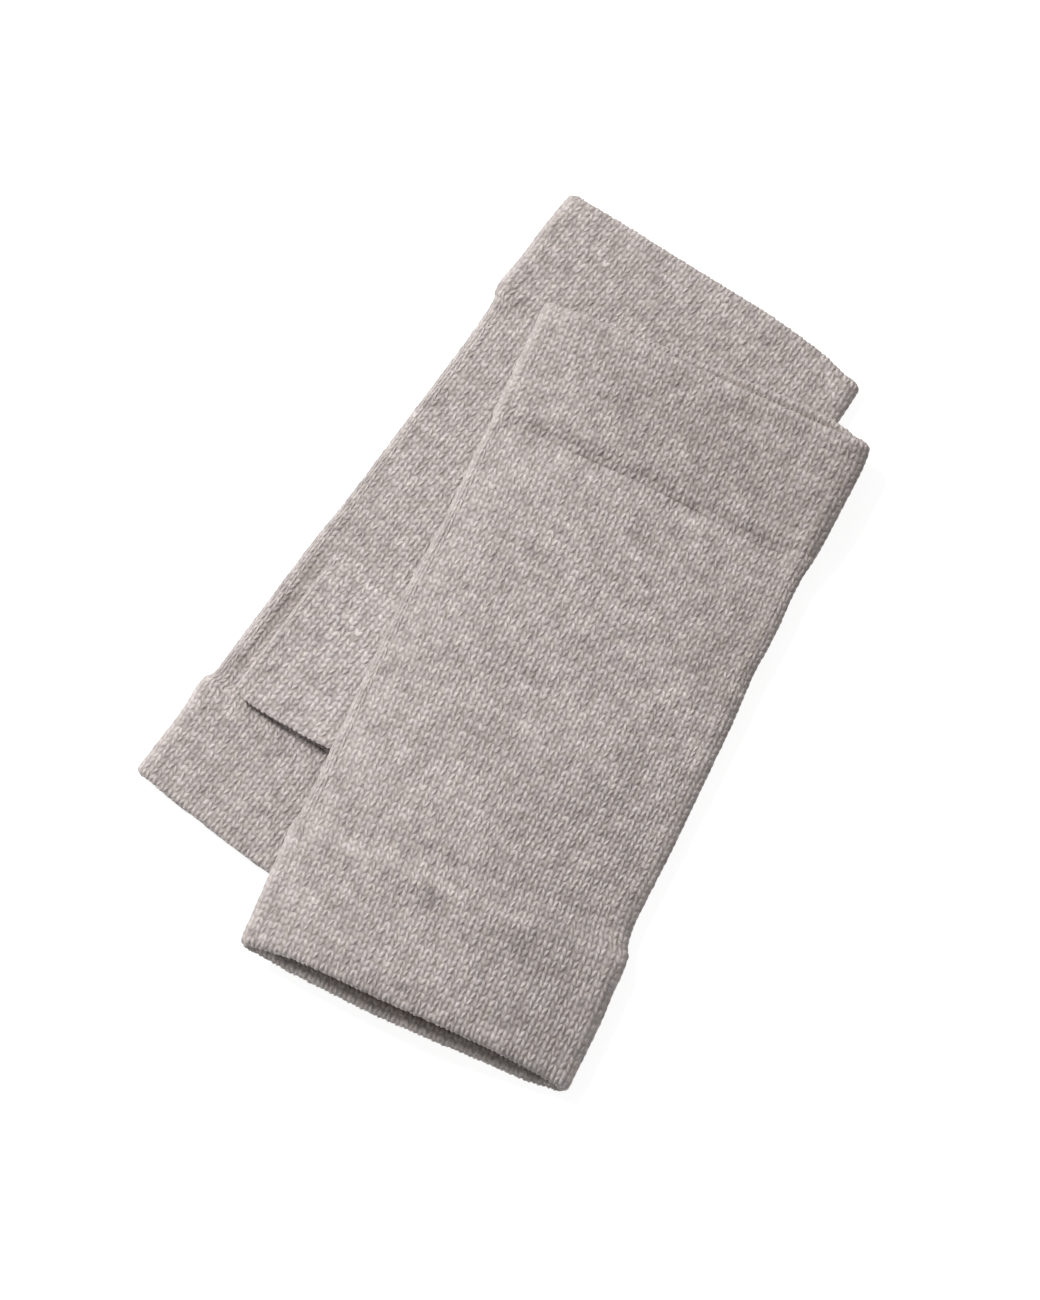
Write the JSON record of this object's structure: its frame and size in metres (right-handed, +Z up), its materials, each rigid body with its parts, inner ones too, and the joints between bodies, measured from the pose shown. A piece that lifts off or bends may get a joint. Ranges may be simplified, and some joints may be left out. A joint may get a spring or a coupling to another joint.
{
  "type": "pair of wrist warmers",
  "caption": "Pair of fine-knit fingerless wrist warmers with turned-in hems and short thumb tubes, laid flat with the upper one across the lower one.",
  "frame": {"origin": "on the surface the pair lies on, under the middle of the pair's box", "axes": "+Z up from the surface; +Y roughly towards the wrist ends, the longest side of the pair; +X to the right seen from above with the wrist ends away from the viewer"},
  "size_m": [0.1986, 0.2492, 0.0172],
  "materials": {
    "lower_knit": "soft melange fine knit",
    "upper_knit": "soft melange fine knit"
  },
  "bodies": {
    "root": {"lower_body": "lower_knit", "lower_wrist_hem": "lower_knit", "lower_finger_hem": "lower_knit", "lower_thumb": "lower_knit", "upper_body": "upper_knit", "upper_wrist_hem": "upper_knit", "upper_finger_hem": "upper_knit", "upper_thumb": "upper_knit"}
  },
  "joints": []
}
